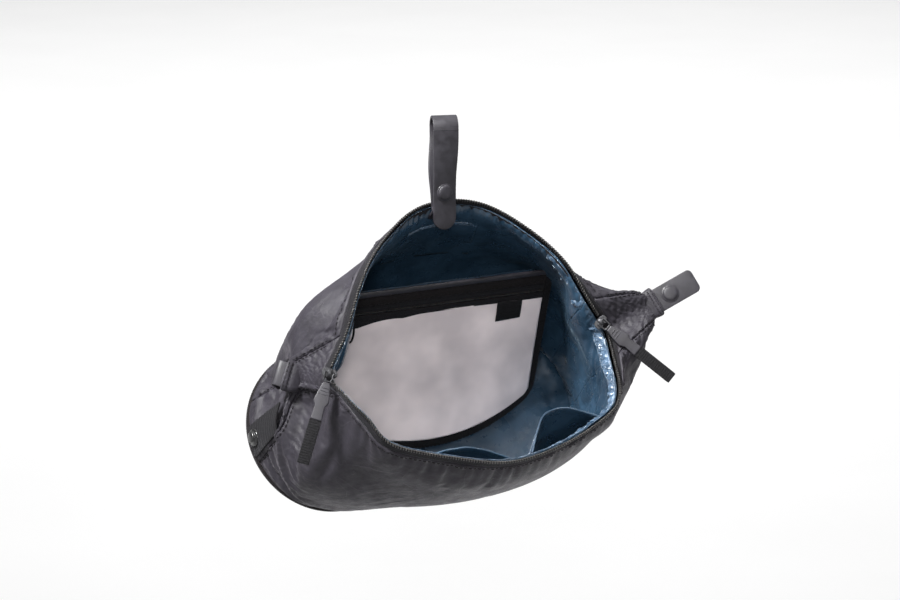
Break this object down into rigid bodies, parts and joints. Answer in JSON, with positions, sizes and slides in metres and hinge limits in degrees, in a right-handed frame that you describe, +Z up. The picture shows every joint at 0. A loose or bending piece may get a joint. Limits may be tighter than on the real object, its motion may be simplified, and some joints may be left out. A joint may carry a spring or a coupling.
{
  "type": "hanging toiletry bag",
  "caption": "Wide-mouthed toiletry bag hung open by a rubber snap strap, with a lined cavity, zipped window pocket, slip pockets and snap tabs on its ears.",
  "frame": {"origin": "inside top of the hang strap's loop, where it rests on the rail", "axes": "+X along the bag, to the right of the person in front of the mouth; +Y away from that person; +Z up. The rail is 18 degrees off X, with its right end nearer to the person"},
  "size_m": [0.3678, 0.1964, 0.3203],
  "materials": {
    "shell_fabric": "coated polyester, plum black, matt with a soft bloom",
    "lining_fabric": "shiny petrol blue nylon",
    "binding_tape": "dark ribbed binding tape",
    "zip_tape": "black woven zip tape with nylon coil",
    "slider_metal": "black lacquered die-cast",
    "rubber_strap": "matt dark grey synthetic rubber",
    "black_webbing": "black ribbed webbing",
    "snap_metal": "glossy black snap hardware",
    "clear_window": "frosted translucent film"
  },
  "bodies": {
    "bag": {"front_panel": "shell_fabric", "back_panel": "shell_fabric", "right_end_panel": "shell_fabric", "left_end_panel": "shell_fabric", "right_ear_patch": "shell_fabric", "left_ear_patch": "shell_fabric", "base_panel": "shell_fabric", "right_keeper": "shell_fabric", "left_keeper": "shell_fabric", "lining_front": "lining_fabric", "lining_back": "lining_fabric", "lining_right": "lining_fabric", "lining_left": "lining_fabric", "lining_base": "lining_fabric", "pocket_back": "lining_fabric", "slip_pocket_left": "lining_fabric", "slip_pocket_right": "lining_fabric", "strap_facing": "lining_fabric", "base_binding": "binding_tape", "zipper_tape_front": "zip_tape", "zipper_tape_back": "zip_tape", "zipper_coil_front": "zip_tape", "zipper_coil_back": "zip_tape", "pocket_tape_upper": "zip_tape", "pocket_tape_lower": "zip_tape", "pocket_coil": "zip_tape", "right_slider": "slider_metal", "left_slider": "slider_metal", "hang_strap": "rubber_strap", "right_end_band": "black_webbing", "left_end_band": "black_webbing", "pocket_top_hem": "black_webbing", "pocket_binding": "black_webbing", "pocket_label": "black_webbing", "hang_snap_stud": "snap_metal", "hang_snap_rivet": "snap_metal", "right_band_stud": "snap_metal", "left_band_stud": "snap_metal", "pocket_window": "clear_window"},
    "strap_flap": {"hang_strap_flap": "rubber_strap", "hang_snap_cap": "rubber_strap", "hang_snap_socket": "snap_metal"},
    "right_puller": {"right_pull_bail": "slider_metal", "right_pull_grip": "rubber_strap", "right_pull_webbing": "black_webbing"},
    "left_puller": {"left_pull_bail": "slider_metal", "left_pull_grip": "rubber_strap", "left_pull_webbing": "black_webbing"},
    "right_tab": {"right_tab_strap": "rubber_strap", "right_tab_cap": "rubber_strap", "right_tab_socket": "snap_metal"},
    "left_tab": {"left_tab_strap": "rubber_strap", "left_tab_cap": "rubber_strap", "left_tab_socket": "snap_metal"},
    "pocket_zip_slider": {"pocket_slider": "slider_metal"},
    "pocket_zip_pull": {"pocket_pull": "black_webbing"}
  },
  "joints": [
    {"name": "strap_flap_hinge", "type": "hinge", "parent": "bag", "child": "strap_flap", "pos_m": [-0.00315, -0.0097, -0.0082], "axis": [-0.9511, 0.309, 0], "range_deg": [0, 110]},
    {"name": "right_puller_hinge", "type": "hinge", "parent": "bag", "child": "right_puller", "pos_m": [0.11869, -0.04599, -0.16978], "axis": [-0.6442, 0.115, -0.7562], "range_deg": [0, 100]},
    {"name": "left_puller_hinge", "type": "hinge", "parent": "bag", "child": "left_puller", "pos_m": [-0.12516, -0.04913, -0.17868], "axis": [-0.818, 0.508, 0.27], "range_deg": [0, 100]},
    {"name": "right_tab_hinge", "type": "hinge", "parent": "bag", "child": "right_tab", "pos_m": [0.17208, -0.0439, -0.16005], "axis": [-0.2829, 0.5339, 0.7968], "range_deg": [0, 95]},
    {"name": "left_tab_hinge", "type": "hinge", "parent": "bag", "child": "left_tab", "pos_m": [-0.13864, 0.00003, -0.19163], "axis": [0.4201, 0.2, 0.8852], "range_deg": [0, 30]},
    {"name": "pocket_zip_slide", "type": "slide", "parent": "bag", "child": "pocket_zip_slider", "axis": [1, 0, 0], "range_m": [0, 0.159]},
    {"name": "pocket_pull_hinge", "type": "hinge", "parent": "pocket_zip_slider", "child": "pocket_zip_pull", "pos_m": [-0.0765, 0.01128, -0.15698], "axis": [-1, 0, 0], "range_deg": [0, 90]}
  ]
}
